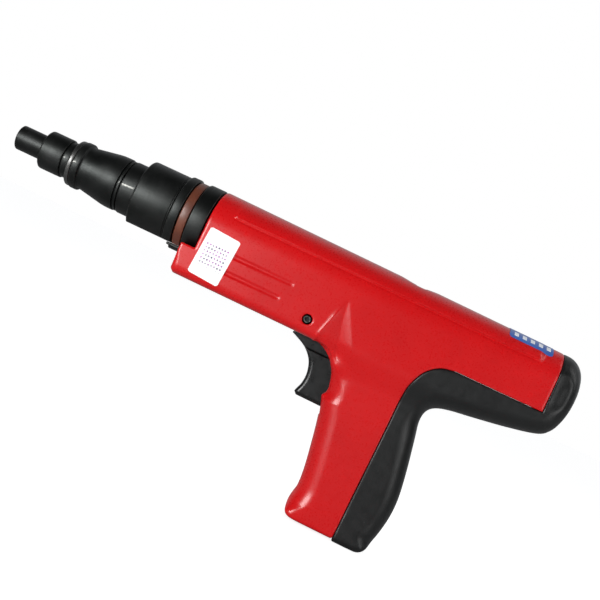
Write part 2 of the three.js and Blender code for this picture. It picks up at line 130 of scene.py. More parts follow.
def make_world():
    """A dim room in front of the tool and a bright backdrop behind it, seen as plain white."""
    world = bpy.data.worlds.new("studio")
    bpy.context.scene.world = world
    world.use_nodes = True
    nodes, links = world.node_tree.nodes, world.node_tree.links
    nodes.clear()
    out = nodes.new("ShaderNodeOutputWorld")
    mix = nodes.new("ShaderNodeMixShader")
    rays = nodes.new("ShaderNodeLightPath")
    direction = nodes.new("ShaderNodeSeparateXYZ")
    links.new(nodes.new("ShaderNodeTexCoord").outputs["Generated"], direction.inputs["Vector"])
    behind = nodes.new("ShaderNodeMapRange")
    behind.interpolation_type = "SMOOTHSTEP"
    behind.inputs["From Min"].default_value = 0.1
    behind.inputs["From Max"].default_value = 0.7
    behind.inputs["To Min"].default_value = 0.10
    behind.inputs["To Max"].default_value = 0.6
    links.new(direction.outputs["Y"], behind.inputs["Value"])
    lit = nodes.new("ShaderNodeBackground")
    lit.inputs["Color"].default_value = (0.95, 0.97, 1.0, 1)
    links.new(behind.outputs["Result"], lit.inputs["Strength"])
    seen = nodes.new("ShaderNodeBackground")
    seen.inputs["Color"].default_value = (1, 1, 1, 1)
    links.new(rays.outputs["Is Camera Ray"], mix.inputs["Fac"])
    links.new(lit.outputs["Background"], mix.inputs[1])
    links.new(seen.outputs["Background"], mix.inputs[2])
    links.new(mix.outputs["Shader"], out.inputs["Surface"])


def make_floor():
    """A pale floor that the camera sees nearly white, while the tool is lit by its plain grey."""
    corners = [(-FLOOR_HALF, -FLOOR_HALF, 0), (FLOOR_HALF, -FLOOR_HALF, 0)]
    corners += [(FLOOR_HALF, FLOOR_HALF, 0), (-FLOOR_HALF, FLOOR_HALF, 0)]
    mesh = bpy.data.meshes.new("floor")
    mesh.from_pydata(corners, [], [(0, 1, 2, 3)])
    floor = bpy.data.objects.new("floor", mesh)
    bpy.context.scene.collection.objects.link(floor)
    material = bpy.data.materials.new("floor")
    material.use_nodes = True
    shader = material.node_tree.nodes["Principled BSDF"]
    shader.inputs["Base Color"].default_value = (0.7, 0.7, 0.7, 1)
    shader.inputs["Roughness"].default_value = 0.9
    shader.inputs["Specular IOR Level"].default_value = 0.1
    shader.inputs["Emission Color"].default_value = (0.82, 0.82, 0.82, 1)
    rays = material.node_tree.nodes.new("ShaderNodeLightPath")
    material.node_tree.links.new(rays.outputs["Is Camera Ray"], shader.inputs["Emission Strength"])
    mesh.materials.append(material)


# ---------------------------------------------------------------- materials


class Nodes:
    """A material's node tree, with short ways to add what the finishes below share."""

    def __init__(self, name):
        self.material = bpy.data.materials.new(name)
        self.material.use_nodes = True
        self.tree = self.material.node_tree
        self.shader = self.tree.nodes["Principled BSDF"]
        self.place = self.tree.nodes.new("ShaderNodeTexCoord").outputs["Object"]

    def set(self, **values):
        for name, value in values.items():
            self.shader.inputs[name.replace("_", " ")].default_value = value
        return self

    def link(self, source, target):
        self.tree.links.new(source, target)

    def add(self, kind, **values):
        node = self.tree.nodes.new("ShaderNode" + kind)
        for name, value in values.items():
            setattr(node, name, value)
        return node

    def mapped(self, scale, location=(0, 0, 0)):
        node = self.add("Mapping")
        node.inputs["Scale"].default_value = scale
        node.inputs["Location"].default_value = location
        self.link(self.place, node.inputs["Vector"])
        return node.outputs["Vector"]

    def noise(self, scale, detail, vector=None):
        node = self.add("TexNoise")
        node.inputs["Scale"].default_value = scale
        node.inputs["Detail"].default_value = detail
        self.link(vector or self.place, node.inputs["Vector"])
        return node.outputs["Fac"]

    def ramp(self, value, low, high, start, end):
        """low to high as the value goes from start to end, and no further."""
        node = self.add("MapRange")
        node.inputs["From Min"].default_value = start
        node.inputs["From Max"].default_value = end
        node.inputs["To Min"].default_value = low
        node.inputs["To Max"].default_value = high
        self.link(value, node.inputs["Value"])
        return node.outputs["Result"]

    def math(self, operation, a, b=0.0):
        node = self.add("Math", operation=operation)
        for value, socket in ((a, node.inputs[0]), (b, node.inputs[1])):
            if isinstance(value, (int, float)):
                socket.default_value = value
            else:
                self.link(value, socket)
        return node.outputs[0]

    def mix(self, factor, dark, light):
        node = self.add("Mix", data_type="RGBA")
        self.link(factor, node.inputs["Factor"])
        for value, socket in ((dark, node.inputs[6]), (light, node.inputs[7])):
            if isinstance(value, tuple):
                socket.default_value = (*value, 1)
            else:
                self.link(value, socket)
        return node.outputs[2]

    def colour(self, output):
        self.link(output, self.shader.inputs["Base Color"])

    def roughness(self, output):
        self.link(output, self.shader.inputs["Roughness"])

    def bump(self, *layers):
        """Each layer is (height, distance in metres, strength)."""
        below = None
        for height, distance, strength in layers:
            node = self.add("Bump")
            node.inputs["Distance"].default_value = distance
            node.inputs["Strength"].default_value = strength
            self.link(height, node.inputs["Height"])
            if below:
                self.link(below, node.inputs["Normal"])
            below = node.outputs["Normal"]
        self.link(below, self.shader.inputs["Normal"])

    def edges(self, low, high):
        """0 on flats and in hollows, 1 along convex edges."""
        geometry = self.add("NewGeometry")
        return self.ramp(geometry.outputs["Pointiness"], 0.0, 1.0, low, high)


def red_paint():
    n = Nodes("red_powder_coat")
    n.set(Specular_IOR_Level=0.28, Coat_Weight=0.22, Coat_Roughness=0.22)
    patches = n.noise(26, 3)
    speck = n.noise(2600, 1)
    tone = n.mix(n.ramp(patches, 0, 1, 0.3, 0.7), (0.495, 0.0025, 0.004), (0.565, 0.0045, 0.006))
    tone = n.mix(n.ramp(speck, 0, 0.10, 0.66, 0.85), tone, (0.42, 0.002, 0.003))
    n.colour(tone)
    n.roughness(n.ramp(n.noise(900, 2), 0.25, 0.35, 0.3, 0.7))
    n.bump((n.noise(1500, 2), 0.00012, 0.3), (n.noise(5200, 1), 0.00004, 0.25))
    return n.material


def black_steel():
    n = Nodes("black_oxide_steel")
    n.set(Metallic=1.0)
    turning = n.noise(1, 3, n.mapped((5200, 60, 60)))
    clouds = n.noise(70, 4)
    # Painted highlight, partly wear: convex edges are lightened to a pale grey, broken up by noise. This
    # stands partly for worn metal and partly for the bright edge lines that the light gives there.
    worn_and_highlit_edge = n.edges(0.53, 0.6)
    tone = n.mix(n.ramp(clouds, 0, 1, 0.35, 0.65), (0.026, 0.028, 0.027), (0.040, 0.042, 0.041))
    rubbed_and_highlit = n.math("MULTIPLY", worn_and_highlit_edge, n.ramp(n.noise(420, 3), 0.0, 0.8, 0.42, 0.62))
    tone = n.mix(rubbed_and_highlit, tone, (0.30, 0.30, 0.28))
    n.colour(tone)
    n.roughness(n.ramp(n.math("ADD", turning, clouds), 0.38, 0.54, 0.7, 1.3))
    n.bump((turning, 0.00003, 0.2), (n.noise(900, 2), 0.00003, 0.2))
    return n.material


def bare_steel(name, dark, light, rough):
    n = Nodes(name)
    n.set(Metallic=1.0)
    lines = n.noise(1, 3, n.mapped((6000, 90, 90)))
    n.colour(n.mix(n.ramp(n.noise(120, 3), 0, 1, 0.35, 0.65), dark, light))
    n.roughness(n.ramp(lines, rough - 0.07, rough + 0.1, 0.3, 0.7))
    n.bump((lines, 0.00003, 0.25))
    return n.material


def cover_plastic():
    n = Nodes("black_grained_plastic")
    n.set(Specular_IOR_Level=0.42)
    patches = n.noise(40, 3)
    n.colour(n.mix(n.ramp(patches, 0, 1, 0.35, 0.65), (0.0035, 0.0040, 0.0040), (0.0055, 0.0062, 0.0062)))
    n.roughness(n.ramp(n.noise(300, 2), 0.34, 0.44, 0.3, 0.7))
    cells = n.add("TexVoronoi")
    cells.inputs["Scale"].default_value = 1900
    n.link(n.place, cells.inputs["Vector"])
    n.bump((cells.outputs["Distance"], 0.00008, 0.3), (n.noise(4200, 1), 0.00003, 0.25))
    return n.material


def trigger_plastic():
    n = Nodes("black_satin_plastic")
    n.set(Specular_IOR_Level=0.38)
    patches = n.noise(60, 3)
    n.colour(n.mix(n.ramp(patches, 0, 1, 0.35, 0.65), (0.0035, 0.0040, 0.0040), (0.0055, 0.0062, 0.0062)))
    n.roughness(n.ramp(n.noise(260, 2), 0.26, 0.38, 0.3, 0.7))
    n.bump((n.noise(2400, 2), 0.00004, 0.3))
    return n.material


def brown_rubber():
    n = Nodes("brown_polyurethane")
    n.set(Specular_IOR_Level=0.55)
    n.colour(n.mix(n.ramp(n.noise(90, 4), 0, 1, 0.3, 0.7), (0.075, 0.017, 0.008), (0.16, 0.046, 0.022)))
    n.roughness(n.ramp(n.noise(500, 2), 0.34, 0.46, 0.3, 0.7))
    n.bump((n.noise(700, 2), 0.00004, 0.3))
    return n.material


def black_rubber():
    n = Nodes("black_rubber")
    n.colour(n.mix(n.ramp(n.noise(80, 3), 0, 1, 0.35, 0.65), (0.008, 0.008, 0.008), (0.016, 0.016, 0.015)))
    n.roughness(n.ramp(n.noise(400, 2), 0.6, 0.8, 0.3, 0.7))
    n.bump((n.noise(1800, 2), 0.00006, 0.4))
    return n.material


def bronze():
    n = Nodes("turned_bronze")
    n.set(Metallic=1.0)
    lines = n.noise(1, 3, n.mapped((5000, 80, 80)))
    n.colour(n.mix(n.ramp(n.noise(90, 3), 0, 1, 0.35, 0.65), (0.42, 0.24, 0.09), (0.60, 0.38, 0.16)))
    n.roughness(n.ramp(lines, 0.26, 0.42, 0.3, 0.7))
    n.bump((lines, 0.00003, 0.25))
    return n.material


def separate(n):
    """The x, y and z of a point in millimetres, in tool coordinates."""
    node = n.add("SeparateXYZ")
    n.link(n.mapped((1 / MM,) * 3, tuple(-c / MM for c in ORIGIN)), node.inputs["Vector"])
    return node.outputs["X"], node.outputs["Y"], node.outputs["Z"]


def rows_of_dots(n, along, across, pitch, row_pitch, radius):
    """1 in the dots of a grid, 0 between them."""
    column = n.math("SUBTRACT", n.math("FRACT", n.math("DIVIDE", along, pitch)), 0.5)
    row = n.math("SUBTRACT", n.math("FRACT", n.math("DIVIDE", across, row_pitch)), 0.5)
    a = n.math("MULTIPLY", column, pitch)
    b = n.math("MULTIPLY", row, row_pitch)
    distance = n.math("SQRT", n.math("ADD", n.math("MULTIPLY", a, a), n.math("MULTIPLY", b, b)))
    return n.math("LESS_THAN", distance, radius)


def between(n, value, low, high):
    return n.math("MULTIPLY", n.math("GREATER_THAN", value, low), n.math("LESS_THAN", value, high))


def white_paper():
    n = Nodes("white_label_stock")
    n.set(Specular_IOR_Level=0.4, Coat_Weight=0.25, Coat_Roughness=0.2)
    x, _, z = separate(n)
    dots = rows_of_dots(n, n.math("ADD", x, 0.2), z, 1.75, 2.1, 0.52)
    field = n.math("MULTIPLY", between(n, x, 131.4, 145.4), between(n, z, -21.8, -8.2))
    broken = n.ramp(n.noise(1300, 1), 0, 1, 0.34, 0.44)
    ink = n.math("MULTIPLY", n.math("MULTIPLY", dots, field), broken)
    ink_tone = n.mix(n.ramp(n.noise(500, 0), 0, 1, 0.4, 0.6), (0.10, 0.10, 0.16), (0.40, 0.12, 0.42))
    paper = n.mix(n.ramp(n.noise(60, 3), 0, 1, 0.3, 0.7), (0.93, 0.93, 0.94), (0.97, 0.97, 0.975))
    n.colour(n.mix(ink, paper, ink_tone))
    n.roughness(n.ramp(n.noise(800, 2), 0.38, 0.5, 0.3, 0.7))
    n.bump((n.noise(1500, 2), 0.00002, 0.3))
    return n.material


def blue_paper():
    n = Nodes("blue_label_stock")
    n.set(Specular_IOR_Level=0.4, Coat_Weight=0.3, Coat_Roughness=0.2)
    x, _, z = separate(n)
    cell = n.math("FRACT", n.math("DIVIDE", n.math("SUBTRACT", x, 300.2), 4.7))
    marks = n.math("MULTIPLY", between(n, cell, 0.22, 0.74), between(n, z, 16.0, 17.9))
    marks = n.math("MULTIPLY", marks, between(n, x, 300.2, 323.4))
    blue = n.mix(n.ramp(n.noise(70, 3), 0, 1, 0.3, 0.7), (0.025, 0.10, 0.40), (0.035, 0.13, 0.46))
    n.colour(n.mix(marks, blue, (0.8, 0.83, 0.9)))
    n.roughness(n.ramp(n.noise(800, 2), 0.3, 0.42, 0.3, 0.7))
    n.bump((n.noise(1500, 2), 0.00002, 0.3))
    return n.material


SLOTS = {
    "black_steel": black_steel(),
    "bright_steel": bare_steel("ground_steel", (0.50, 0.49, 0.46), (0.64, 0.62, 0.58), 0.27),
    "spring_steel": bare_steel("spring_steel", (0.10, 0.10, 0.098), (0.17, 0.17, 0.165), 0.36),
    "bronze": bronze(),
    "red_housing": red_paint(),
    "black_cover": cover_plastic(),
    "black_trigger": trigger_plastic(),
    "brown_rubber": brown_rubber(),
    "black_rubber": black_rubber(),
    "white_label": white_paper(),
    "blue_label": blue_paper(),
}

BODY_OF = {n: body for body, nodes in frame["record"]["behaviour"]["bodies"].items() for n in nodes}
SLOT_OF = {s["node"]: s["material_slot"] for s in frame["record"]["subparts"]}

# ---------------------------------------------------------------- mesh helpers

CORNER_STEPS = 3  # points on each softened corner
TURNED_SIDES, SPUN_SIDES, BORE_SIDES = 112, 48, 32
SHARP = 38  # degrees between faces from which an edge is shaded hard


def add_piece(node, points, faces, sharp=None):
    """A mesh in tool millimetres that stands for a CAD node, rides on its body and takes its finish."""
    points = np.asarray(points, float) * MM + np.array(ORIGIN)
    mesh = bpy.data.meshes.new(node + "_visual")
    mesh.from_pydata(points.tolist(), [], [list(map(int, f)) for f in faces])
    mesh.validate()
    if signed_volume(mesh) < 0:
        mesh.flip_normals()
    mesh.polygons.foreach_set("use_smooth", [True] * len(mesh.polygons))
    if sharp is not None:
        mesh.set_sharp_from_angle(angle=math.radians(sharp))
    piece = bpy.data.objects.new(node + "_visual", mesh)
    bpy.context.scene.collection.objects.link(piece)
    mesh.materials.append(SLOTS[SLOT_OF[node]])
    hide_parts(node)
    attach(piece, BODY_OF[node])
    return piece


def signed_volume(mesh):
    mesh.calc_loop_triangles()
    corners = np.empty(len(mesh.loop_triangles) * 3, np.int32)
    mesh.loop_triangles.foreach_get("vertices", corners)
    points = np.empty(len(mesh.vertices) * 3, np.float32)
    mesh.vertices.foreach_get("co", points)
    a, b, c = points.reshape(-1, 3)[corners.reshape(-1, 3)].transpose(1, 0, 2)
    return float(np.einsum("ij,ij->i", a, np.cross(b, c)).sum())


def softened(profile, radius):
    """A closed outline with each corner rounded, as far as its edges allow."""
    points = [np.array(p[:2], float) for p in profile]
    count = len(points)
    path = []
    for i, here in enumerate(points):
        own = profile[i][2] if len(profile[i]) > 2 else radius
        before, after = points[i - 1] - here, points[(i + 1) % count] - here
        reach = min(own, 0.45 * np.linalg.norm(before), 0.45 * np.linalg.norm(after))
        if reach < 0.02 or here[1] < 1e-6:
            path.append(here)
            continue
        start = here + before / np.linalg.norm(before) * reach
        end = here + after / np.linalg.norm(after) * reach
        for k in range(CORNER_STEPS + 1):
            t = k / CORNER_STEPS
            path.append((1 - t) ** 2 * start + 2 * t * (1 - t) * here + t * t * end)
    return path


def turned(node, profile, corner=0.35):
    """A piece turned about the barrel axis from a closed outline of (x, radius) or (x, radius, corner)."""
    path = softened(profile, corner)
    points, faces = turned_mesh(path, TURNED_SIDES)
    return add_piece(node, points, faces, sharp=SHARP)


def turned_mesh(path, sides):
    """Points and faces of a closed outline of (x, radius) turned about the x axis."""
    points, rings = [], []
    for x, radius in path:
        if radius < 1e-6:
            rings.append([len(points)] * sides)
            points.append((x, 0, 0))
            continue
        rings.append(list(range(len(points), len(points) + sides)))
        for k in range(sides):
            angle = 2 * math.pi * k / sides
            points.append((x, radius * math.cos(angle), radius * math.sin(angle)))
    faces = []
    for a, b in zip(rings, rings[1:] + rings[:1]):
        for k in range(sides):
            m = (k + 1) % sides
            face = list(dict.fromkeys((a[k], a[m], b[m], b[k])))
            if len(face) > 2:
                faces.append(face)
    return points, faces


def ring_outline(x0, x1, inner, outer):
    return [(x0, inner), (x1, inner), (x1, outer), (x0, outer)]


def cut(piece, *cutters):
    """Subtracts closed meshes, given as (points, faces) in tool millimetres, from a piece."""
    for points, faces in cutters:
        mesh = bpy.data.meshes.new("cutter")
        points = np.asarray(points, float) * MM + np.array(ORIGIN)
        mesh.from_pydata(points.tolist(), [], [list(map(int, f)) for f in faces])
        if signed_volume(mesh) < 0:
            mesh.flip_normals()
        tool = bpy.data.objects.new("cutter", mesh)
        bpy.context.scene.collection.objects.link(tool)
        modifier = piece.modifiers.new("cut", "BOOLEAN")
        modifier.operation = "DIFFERENCE"
        modifier.solver = "EXACT"
        modifier.object = tool
        apply_modifiers(piece)
        bpy.data.objects.remove(tool)


def apply_modifiers(piece):
    bpy.context.view_layer.update()
    graph = bpy.context.evaluated_depsgraph_get()
    mesh = bpy.data.meshes.new_from_object(piece.evaluated_get(graph))
    piece.modifiers.clear()
    piece.data = mesh
    mesh.polygons.foreach_set("use_smooth", [True] * len(mesh.polygons))
    mesh.set_sharp_from_angle(angle=math.radians(SHARP))


def bar_mesh(start, end, radius, sides):
    """A closed bar with this many sides between two points."""
    a, b = Vector(start), Vector(end)
    along = (b - a).normalized()
    side = along.orthogonal().normalized()
    other = along.cross(side)
    points, faces = [], []
    for centre in (a, b):
        for k in range(sides):
            angle = 2 * math.pi * k / sides
            points.append(centre + (side * math.cos(angle) + other * math.sin(angle)) * radius)
    for k in range(sides):
        m = (k + 1) % sides
        faces.append((k, m, sides + m, sides + k))
    faces.append(tuple(range(sides - 1, -1, -1)))
    faces.append(tuple(range(sides, 2 * sides)))
    return points, faces


def box_mesh(low, high):
    points = [(x, y, z) for x in (low[0], high[0]) for y in (low[1], high[1]) for z in (low[2], high[2])]
    faces = [(0, 1, 3, 2), (4, 6, 7, 5), (0, 4, 5, 1), (2, 3, 7, 6), (0, 2, 6, 4), (1, 5, 7, 3)]
    return points, faces


def spun(profile, start, end):
    """Points and faces of an outline of (distance, radius) turned about the line from start to end."""
    a = Vector(start)
    along = (Vector(end) - a).normalized()
    points, faces = turned_mesh(profile, SPUN_SIDES)
    turn = Vector((1, 0, 0)).rotation_difference(along)
    return [turn @ Vector(p) + a for p in points], faces


def helix(node, start, end, coil_radius, wire_radius, turns, side):
    """A compression spring; side is the direction from its axis in which the coil starts."""
    a, b = Vector(start), Vector(end)
    length = (b - a).length
    along = (b - a) / length
    side = Vector(side)
    other = along.cross(side)
    per_turn, wire_sides = 30, 10
    steps = int(turns * per_turn)
    clear = wire_radius / length
    centres = []
    for k in range(steps + 1):
        t = k / steps
        angle = 2 * math.pi * turns * t
        shift = clear + (1 - 2 * clear) * t
        centres.append(
            a + along * (length * shift) + (side * math.cos(angle) + other * math.sin(angle)) * coil_radius
        )
    points, faces = [], []
    for k, centre in enumerate(centres):
        ahead = centres[min(k + 1, steps)] - centres[max(k - 1, 0)]
        outward = centre - a - along * (centre - a).dot(along)
        outward.normalize()
        across = ahead.normalized().cross(outward).normalized()
        for m in range(wire_sides):
            angle = 2 * math.pi * m / wire_sides
            points.append(centre + (outward * math.cos(angle) + across * math.sin(angle)) * wire_radius)
    for k in range(steps):
        for m in range(wire_sides):
            n = (m + 1) % wire_sides
            here, ahead = k * wire_sides, (k + 1) * wire_sides
            faces.append((here + m, here + n, ahead + n, ahead + m))
    faces.append(tuple(range(wire_sides - 1, -1, -1)))
    faces.append(tuple(range(steps * wire_sides, (steps + 1) * wire_sides)))
    return add_piece(node, points, faces, sharp=50)


# ---------------------------------------------------------------- distance fields for moulded shapes

CURVE_STEPS = 6  # points on a smooth line for each one given


class Field:
    """A block of space in tool millimetres, on which signed distances are worked out."""

    def __init__(self, low, high, step):
        self.low, self.step = np.array(low, float), np.array(step, float)
        axes = [np.arange(a, b + s, s, dtype=np.float32) for a, b, s in zip(low, high, self.step)]
        self.x = axes[0][:, None, None]
        self.y = axes[1][None, :, None]
        self.z = axes[2][None, None, :]

    def side(self, outline):
        """Distance to an outline in (x, z)."""
        return polygon_distance(outline, self.x[:, :, 0], self.z[0, :, :])[:, None, :]

    def mesh(self, distance):
        reach = 3 * float(self.step.max())
        grid = openvdb.FloatGrid(background=reach)
        near = np.clip(np.broadcast_to(distance, self.shape()), -reach, reach)
        grid.copyFromArray(np.ascontiguousarray(near, np.float32))
        points, quads = grid.convertToQuads()
        return points * self.step + self.low, quads

    def shape(self):
        return self.x.shape[0], self.y.shape[1], self.z.shape[2]


def polygon_distance(outline, x, z):
    """Signed distance in the plane, negative inside; x is a column and z a row."""
    x, z = np.broadcast_arrays(x, z)
    best = np.full(x.shape, 1e9, np.float32)
    inside = np.zeros(x.shape, bool)
    count = len(outline)
    for i in range(count):
        (ax, az), (bx, bz) = outline[i], outline[(i + 1) % count]
        ex, ez = bx - ax, bz - az
        length = ex * ex + ez * ez
        if length < 1e-12:
            continue
        t = np.clip(((x - ax) * ex + (z - az) * ez) / length, 0, 1)
        dx, dz = x - ax - t * ex, z - az - t * ez
        np.minimum(best, dx * dx + dz * dz, out=best)
        if abs(ez) > 1e-12:
            crosses = ((az > z) != (bz > z)) & (x < ax + (z - az) * ex / ez)
            inside ^= crosses
    return np.where(inside, -np.sqrt(best), np.sqrt(best)).astype(np.float32)


def curve(points):
    """A smooth line through the points."""
    p = [np.array(q, float) for q in points]
    p = [2 * p[0] - p[1], *p, 2 * p[-1] - p[-2]]
    path = []
    for a, b, c, d in zip(p, p[1:], p[2:], p[3:]):
        for k in range(CURVE_STEPS):
            t = k / CURVE_STEPS
            bend, twist = 2 * a - 5 * b + 4 * c - d, 3 * b - a - 3 * c + d
            path.append(0.5 * (2 * b + (c - a) * t + bend * t * t + twist * t ** 3))
    return [tuple(q) for q in path] + [tuple(points[-1])]


def smooth_step(value, low, high):
    t = np.clip((value - low) / (high - low), 0, 1)
    return t * t * (3 - 2 * t)


def both(a, b, radius):
    """What is inside both shapes, with the edge between them rounded."""
    u, v = a + radius, b + radius
    return np.minimum(np.maximum(u, v), 0) + np.hypot(np.maximum(u, 0), np.maximum(v, 0)) - radius


def without(a, b, radius):
    """The first shape less the second, with the new edge rounded."""
    return both(a, -b, radius)


def joined(a, b, blend):
    """Either shape, flowing together over the blend width."""
    h = np.maximum(blend - np.abs(a - b), 0) / blend
    return np.minimum(a, b) - h * h * blend / 4


def carved(a, b, blend):
    """The first shape less the second, flowing together over the blend width."""
    return -joined(-a, b, blend)


def bar(f, start, end, radius):
    """Distance to a round-ended bar."""
    a, b = np.array(start, np.float32), np.array(end, np.float32)
    e = b - a
    px, py, pz = f.x - a[0], f.y - a[1], f.z - a[2]
    t = np.clip((px * e[0] + py * e[1] + pz * e[2]) / float(e @ e), 0, 1)
    return np.sqrt((px - t * e[0]) ** 2 + (py - t * e[1]) ** 2 + (pz - t * e[2]) ** 2) - radius


def block(f, low, high, radius=0.0):
    """Distance to a box with rounded edges."""
    middle = [(a + b) / 2 for a, b in zip(low, high)]
    half = [(b - a) / 2 - radius for a, b in zip(low, high)]
    q = [np.abs(v - m) - h for v, m, h in zip((f.x, f.y, f.z), middle, half)]
    outside = np.sqrt(sum(np.maximum(v, 0) ** 2 for v in q))
    return outside + np.minimum(np.maximum(np.maximum(q[0], q[1]), q[2]), 0) - radius


def round_bore(f, x0, x1, radius):
    """Distance to a cylinder about the barrel axis."""
    radial = np.hypot(f.y, f.z) - radius
    along = np.maximum(x0 - f.x, f.x - x1)
    return np.maximum(radial, along)


# ---------------------------------------------------------------- housing and rear cover

HOUSING_FRONT, HOUSING_REAR = 126.4, 330.5
FRONT_R, REAR_R = 21.2, 18.5
SEAM_Z = -14.9
SEAM = [
    (259.3, -140), (259.9, -110), (260.4, -80), (260.8, -55), (261, -40), (262.2, -31), (266.3, -22.4),
    (273, -17), (281, -15.1),
]
GRIP_FRONT = [
    (200, -32.2), (207, -32.5), (212.5, -34.4), (218, -38.9), (221.5, -44.7), (223.1, -52), (222.2, -56.3),
    (221.7, -59.2), (223, -63.5), (225.1, -71), (227.9, -85.6), (229.9, -98), (230.6, -107.6), (229.7, -113),
    (229.2, -117), (230.4, -121.8), (233.8, -124.8), (239, -125.6),
]
COVER_BACK = [
    (330, 44), (340, 40), (342.4, 24), (344.1, 8), (344.8, -1), (344.4, -9), (342.7, -16.4), (339.7, -22.4),
    (334, -26.6), (318, -30.4), (300, -33.5), (287, -35.6), (279.8, -38), (276.3, -41.9), (275.6, -48),
    (277.4, -57), (280.4, -72), (282.7, -86), (283.4, -96), (282.6, -105.8), (280.2, -116.5), (277.9, -122.4),
    (274.4, -125.2), (268, -125.6),
]
LIP = [(126.4, -14.8), (118.3, -14.8), (118.3, -30), (120.3, -32)]
LEDGE_Z = 9.4
STRIP_FRONT, STRIP_REAR, STRIP_HALF = 243.4, 248.6, 6.2
GRIP_HALF, GRIP_FLARE, HOLLOW_HALF = 15.0, 0.9, 10.8
GRIP_EDGE_R, BACK_EDGE_R, RIM_R = 12.0, 9.5, 1.1
TRIGGER_PIVOT = (198, -23.7)
SEAR_PIVOT = (270, -26)
SEAR_ROOM_HALF = 3.8
BASE_SCREW_X = 268
CAP_FACE_X = 341.2


def body_radius(x):
    """Half the body's width and height at x: it tapers a little towards the rear."""
    return FRONT_R + (REAR_R - FRONT_R) * (x - HOUSING_FRONT) / (HOUSING_REAR - HOUSING_FRONT)


def outer_form(f):
    """The outside of the housing and rear cover together."""
    profile = [(HOUSING_FRONT, 44), *LIP, *curve(GRIP_FRONT), *reversed(curve(COVER_BACK))]
    side = f.side(profile)
    grip = smooth_step(-f.z, 26, 45)
    flare = GRIP_FLARE * smooth_step(-f.z, 105, 119)
    half_width = body_radius(f.x) * (1 - grip) + (GRIP_HALF + flare) * grip
    skin = np.hypot(f.y, np.maximum(f.z, 0)) - half_width
    low = smooth_step(-f.z, 18, 27)
    front = RIM_R * (1 + 2 * low)
    held = smooth_step(-f.z, 36, 58) * (1 - smooth_step(-f.z, 115, 123))
    back = smooth_step(f.x, 262, 276)
    radius = front + (GRIP_EDGE_R - front) * held
    radius = radius + (BACK_EDGE_R - radius) * back * (1 - smooth_step(-f.z, 113, 122))
    return both(skin, side, radius)


def red_side():
    """Outline in (x, z) of everything ahead of the parting line."""
    return [(60, 90), (HOUSING_REAR, 90), (HOUSING_REAR, SEAM_Z), *reversed(curve(SEAM)), (60, -140)]


def finger_relief(f):
    """Depth of the two facets pressed into each side above the trigger, which meet in a valley."""
    down = np.clip((-4 - f.z) / 27, 0, 1.25)
    front, rear = 213.5 - 7.5 * down, 214 + 14.5 * down
    back = np.maximum(rear - f.x, 0)
    depth = np.minimum(0.22 * (f.x - front), 0.16 * back + 0.016 * back ** 2)
    depth = np.maximum(depth, 0) ** 2 / (np.abs(depth) + 0.05)
    lip = 0.35 * np.exp(-((f.x - front) / 0.9) ** 2) * smooth_step(down, 0.15, 0.5)
    fade = 1 - smooth_step(-f.z, 32, 41)
    dimple = 0.8 * np.exp(-((f.x - 227) / 4.0) ** 2 - ((f.z + 47) / 6.5) ** 2)
    return (depth - lip) * fade + dimple


def ledge_lift(x, z):
    """How far the upper part of each side stands out over the ledge line."""
    along = smooth_step(x, 137.5, 140.5) * (1 - smooth_step(x, 317.5, 320.5))
    height = (0.7 + 0.35 * smooth_step(x, 200, 260)) * along * smooth_step(z, LEDGE_Z - 0.4, LEDGE_Z + 0.3)
    return height * (1 - smooth_step(z, LEDGE_Z + 2, LEDGE_Z + 11))


def housing_details(shape, f):
    """Adds the ledge, the line under it, the slots and the small shelf below the trigger."""
    for side in (-1, 1):
        near = smooth_step(side * f.y, 3, 8)
        shape = shape - ledge_lift(f.x, f.z) * near
        under = 0.35 * smooth_step(f.x, 139, 142) * (1 - smooth_step(f.x, 315, 318)) * near
        shape = shape + under * np.exp(-((f.z - LEDGE_Z + 0.9) / 0.55) ** 2)
        for rear, z in ((184, -10.3), (180, -19.9)):
            slot_low, slot_high = sorted((side * 20.1, side * 24.0))
            slot = block(f, (133, slot_low, z - 1.6), (rear, slot_high, z + 1.6), 1.5)
            shape = without(shape, slot, 0.25)
    shelf = bar(f, (223.1, -8, -57.6), (223.1, 8, -57.6), 1.0)
    return joined(shape, shelf, 2.0)


